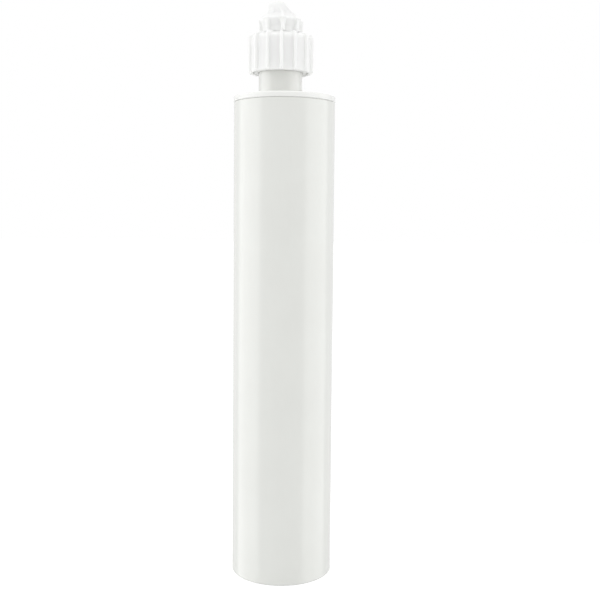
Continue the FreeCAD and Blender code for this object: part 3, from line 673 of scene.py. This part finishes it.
def threadTree(resolution=96, endSize=0.06):
    # one ridge wound round Z, of a trapezoid section that fades in and out at its ends
    tree, given = startTree("woundThread", [
        ("Radius", "Float", 0.01), ("Pitch", "Float", 0.003), ("Turns", "Float", 3.0),
        ("Depth", "Float", 0.001), ("Foot", "Float", 0.002), ("Crest", "Float", 0.001),
        ("Fade", "Float", 0.06), ("Facing", "Float", math.pi / 2),
    ])
    rise = calc(tree, "MULTIPLY", given["Pitch"], given["Turns"])
    line = addNode(tree, "GeometryNodeCurveSpiral", {
        "Resolution": resolution, "Rotations": given["Turns"], "Start Radius": given["Radius"],
        "End Radius": given["Radius"], "Height": rise, "Reverse": True}).outputs[0]
    line = addNode(tree, "GeometryNodeSetCurveNormal", {"Curve": line}, mode="Z_UP").outputs[0]
    along = addNode(tree, "GeometryNodeSplineParameter").outputs["Factor"]
    toEnd = calc(tree, "MINIMUM", along, calc(tree, "SUBTRACT", 1.0, along))
    swell = ramp(tree, toEnd, 0.0, given["Fade"], endSize, 1.0)
    section = addNode(tree, "GeometryNodeCurvePrimitiveQuadrilateral", {
        "Bottom Width": given["Foot"], "Top Width": given["Crest"], "Height": given["Depth"], "Offset": 0.0,
    }, mode="TRAPEZOID").outputs[0]
    facing = addNode(tree, "FunctionNodeEulerToRotation", {0: combine(tree, {2: given["Facing"]})}).outputs[0]
    section = addNode(tree, "GeometryNodeTransform", {"Geometry": section, "Rotation": facing}).outputs[0]
    ridge = addNode(tree, "GeometryNodeCurveToMesh", {
        "Curve": line, "Profile Curve": section, "Scale": swell, "Fill Caps": True}).outputs[0]
    return endTree(tree, ridge, given["Material"])


def capAttributes(mesh, rows, columns, s):
    # how far each row stands out and up at a rib and at a fin, and how much wider they are there
    plain, rib, fin = rows
    low, high = s["footTop"], s["hoodHeight"]
    z = np.clip(plain[:, 1], low, high)
    arch = np.clip((z - (high - s["archHeight"])) / s["archHeight"], 0, 1)
    root = np.clip(((low + s["rootHeight"]) - z) / s["rootHeight"], 0, 1)
    spread = s["archWidth"] * (1 - np.sqrt(1 - arch ** 2)) + s["rootWidth"] * root ** 2
    above = (plain[:, 1] > high) & (plain[:, 0] > s["noseTop"])
    spread[above] = s["archWidth"] * np.clip(1 - (plain[above, 1] - high) / s["archFade"], 0, 1) ** 2
    for group, raised, wider in (("rib", rib, np.zeros(len(plain))), ("fin", fin, spread)):
        out, up = (raised - plain).T
        for ending, values in (("Out", out), ("Up", up), ("Spread", wider)):
            column = np.repeat(values, columns) * mm
            keepNumbers(mesh, group + ending, np.concatenate([column, [0, 0]]))


def leanNose(cap, s):
    # the nose was cut from its runner a little to one side
    for point in cap.data.vertices:
        t = (point.co.z / mm - s["stepHeight"]) / (s["height"] - s["tipStraight"] - s["stepHeight"])
        t = min(max(t, 0), 1)
        point.co.x -= s["lean"] * mm * t * t * (3 - 2 * t)
    cap.data.update()


def makeCapShell(s):
    rows = [roundedOutline(corners) for corners in capOutlines(s)]
    angles = gradedTurns(s["turnSteps"], [
        (s[group + "Count"], s[group + "Phase"], s[group + "Flanks"]) for group in ("rib", "fin")])
    mesh = spunMesh("capShell", rows[0] * mm, angles)
    capAttributes(mesh, rows, len(angles), s)
    cap = newPiece("capShell", mesh)
    tree = raisedRibsTree()
    for group in ("rib", "fin"):
        throughTree(cap, tree, {
            "Count": float(s[group + "Count"]), "Width": s[group + "Width"] * mm,
            "Softness": s[group + "Soft"] * mm, "Phase": math.radians(s[group + "Phase"]),
            "Out": group + "Out", "Up": group + "Up", "Spread": group + "Spread",
            "Material": materials["cap_plastic"]})
    leanNose(cap, s)
    return cap


def makeCapWebs(s):
    webs = newPiece("capWebs")
    throughTree(webs, ringTree(), {
        "Count": s["webCount"], "Phase": math.radians(s["finPhase"]),
        "Inner": (s["innerSleeve"] - s["webSink"]) * mm, "Outer": (s["skirtInner"] + s["webSink"]) * mm,
        "Bottom": s["webRecess"] * mm, "Top": (s["coring"] + s["webSink"]) * mm,
        "Thickness": s["webWidth"] * mm, "Material": materials["cap_plastic"]})
    return webs


def makeCapThread(s):
    thread = newPiece("capThread")
    throughTree(thread, ridgeTree, {
        "Radius": (s["bore"] - s["threadDepth"] / 2 + s["threadSink"]) * mm, "Pitch": s["threadPitch"] * mm,
        "Turns": s["threadTurns"], "Depth": s["threadDepth"] * mm, "Foot": s["threadFoot"] * mm,
        "Crest": s["threadCrest"] * mm, "Fade": s["threadFade"], "Facing": math.pi / 2,
        "Material": materials["cap_plastic"]})
    return thread


def putOnNeck(piece, height):
    piece.data.transform(Matrix.Translation((neckX, 0, height)))
    piece.data.update()


def finish(piece, body, slotName, *nodes):
    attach(piece, body)
    if nodes:
        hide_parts(*nodes)


ridgeTree = threadTree()
capShell, capWebs, capThread = makeCapShell(capSizes), makeCapWebs(capSizes), makeCapThread(capSizes)
for piece, height in ((capShell, 0), (capWebs, 0), (capThread, capSizes["threadStart"] * mm)):
    putOnNeck(piece, capFoot.z + height)
finish(capShell, "cap", "cap_plastic", "screw_cap")
finish(capWebs, "cap", "cap_plastic")
finish(capThread, "cap", "cap_plastic")
print("cap ready:", len(capShell.data.vertices), "points")


# the outlet's thread

outletSizes = {  # mm, out from the neck's axis and up from the disc
    "crest": 10.6, "core": 9.65, "plainLength": 13.5, "pitch": 3.0, "turns": 3.35,
    "foot": 2.3, "crestWidth": 0.8, "sink": 0.2, "startDrop": 0.2, "fade": 0.06,
}


def makeOutletThread(s):
    thread = newPiece("outletThread")
    depth = s["crest"] - s["core"] + s["sink"]
    throughTree(thread, ridgeTree, {
        "Radius": (s["core"] - s["sink"] + depth / 2) * mm, "Pitch": s["pitch"] * mm, "Turns": s["turns"],
        "Depth": depth * mm, "Foot": s["foot"] * mm, "Crest": s["crestWidth"] * mm, "Fade": s["fade"],
        "Facing": -math.pi / 2, "Material": materials["head_plastic"]})
    putOnNeck(thread, discTop + (s["plainLength"] + s["foot"] / 2 - s["startDrop"]) * mm)
    finish(thread, "cartridge", "head_plastic")


makeOutletThread(outletSizes)
print("outlet thread ready")


# the film bags, hidden in the sleeve until the cap or the piston moves

bagSizes = {  # mm; tailMiddle is how far a tail stands to the right of the neck's axis
    "resin": {"node": "resin_bag", "tailMiddle": 2.2, "pleats": 17, "depth": 0.55, "seed": 3},
    "hardener": {"node": "hardener_bag", "tailMiddle": -3.9, "pleats": 11, "depth": 0.35, "seed": 8},
}

filmSizes = {  # mm, for both bags; the lengths run from a bag's end
    "mesh": 0.9, "gatherFrom": 8, "gatherLength": 26, "tailLength": 9, "smoothLength": 20,
    "waves": 9, "shortest": 7, "longest": 16, "wrinkleDepth": 0.5,
    "sway": 2, "swayRate": 90,  # how far a pleat sways, in radians, and how often, in radians to a metre
    "pistonGap": 0.2, "spare": 0.1,
}


def meshPoints(mesh, name):
    values = np.zeros(len(mesh.vertices) * 3)
    mesh.vertices.foreach_get(name, values)
    return values.reshape(-1, 3)


def remeshedCopy(name, source, size):
    bag = newPiece(name, source.copy())
    work = bmesh.new()
    work.from_mesh(bag.data)
    bmesh.ops.remove_doubles(work, verts=work.verts, dist=1e-6)
    work.to_mesh(bag.data)
    work.free()
    remesh = bag.modifiers.new("even", "REMESH")
    remesh.mode = "VOXEL"
    remesh.voxel_size = size
    keepResult(bag)
    return bag


def wrinkles(points, seed, s):
    # waves that run mostly across the bag; only their upper part shows
    random = np.random.default_rng(seed)
    total = np.zeros(len(points))
    for _ in range(s["waves"]):
        direction = random.normal(size=3) * (1, 1, 0.35)
        direction /= np.linalg.norm(direction)
        length = random.uniform(s["shortest"], s["longest"]) * mm
        total += np.sin(points @ direction * 2 * np.pi / length + random.uniform(0, 6.28))
    return np.clip(total / s["waves"] + 0.1, 0, 1) * s["wrinkleDepth"] * mm


def gatheredBag(kind, s):
    # the bag's solid remeshed, pleated where the film gathers and lightly wrinkled elsewhere
    bag = remeshedCopy(kind["node"] + "_film", cadNodes[kind["node"]].data, s["mesh"] * mm)
    points, normals = meshPoints(bag.data, "co"), meshPoints(bag.data, "normal")
    low, high = points[:, 2].min(), points[:, 2].max()
    tailX = neckX + kind["tailMiddle"] * mm
    bearing = np.arctan2(points[:, 1], points[:, 0] - tailX)
    toEnd = np.minimum(points[:, 2] - low, high - points[:, 2])
    gather = np.clip(1 - (toEnd - s["gatherFrom"] * mm) / (s["gatherLength"] * mm), 0, 1)
    gather = gather * np.clip(toEnd / (s["tailLength"] * mm), 0, 1) ** 2
    sway = s["sway"] * np.sin(points[:, 2] * s["swayRate"])
    pleats = (0.5 + 0.5 * np.cos(bearing * kind["pleats"] + sway)) * gather * kind["depth"] * mm
    inward = pleats + wrinkles(points, kind["seed"], s) * np.clip(toEnd / (s["smoothLength"] * mm), 0, 1)
    bag.data.vertices.foreach_set("co", (points - normals * inward[:, None]).ravel())
    bag.data.update()
    bag.data.shade_smooth()
    return bag


def cutPart(source, name, low, high, material):
    # the closed part of a mesh between two heights; None leaves an end as it is
    mesh = source.data.copy()
    work = bmesh.new()
    work.from_mesh(mesh)
    for height, direction in ((low, -1), (high, 1)):
        if height is None:
            continue
        everything = work.verts[:] + work.edges[:] + work.faces[:]
        cut = bmesh.ops.bisect_plane(work, geom=everything, dist=1e-7, plane_co=(0, 0, height),
                                     plane_no=(0, 0, direction), clear_outer=True)
        rim = [item for item in cut["geom_cut"] if isinstance(item, bmesh.types.BMEdge)]
        bmesh.ops.holes_fill(work, edges=rim)
    bmesh.ops.recalc_face_normals(work, faces=work.faces[:])
    work.to_mesh(mesh)
    work.free()
    mesh.materials.clear()
    mesh.materials.append(material)
    return newPiece(name, mesh)


def makeBags(kinds, s):
    # each bag in three: the middle and the front tail stay with the cartridge, the rear one rides the piston
    rear, front = pistonEnds[1][2] + s["pistonGap"] * mm, sleeveEnds[1][2]
    for name, kind in kinds.items():
        bag = gatheredBag(kind, s)
        material = materials[name + "_film"]
        middle = cutPart(bag, name + "BagMiddle", rear, front, material)
        frontTail = cutPart(bag, name + "FrontTail", front, None, material)
        rearTail = cutPart(bag, name + "RearTail", None, rear, material)
        bpy.data.objects.remove(bag)
        finish(middle, "cartridge", name + "_film", kind["node"])
        finish(frontTail, "cartridge", name + "_film")
        finish(rearTail, "piston", name + "_film")
        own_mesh(middle)


makeBags(bagSizes, filmSizes)
print("film bags ready")
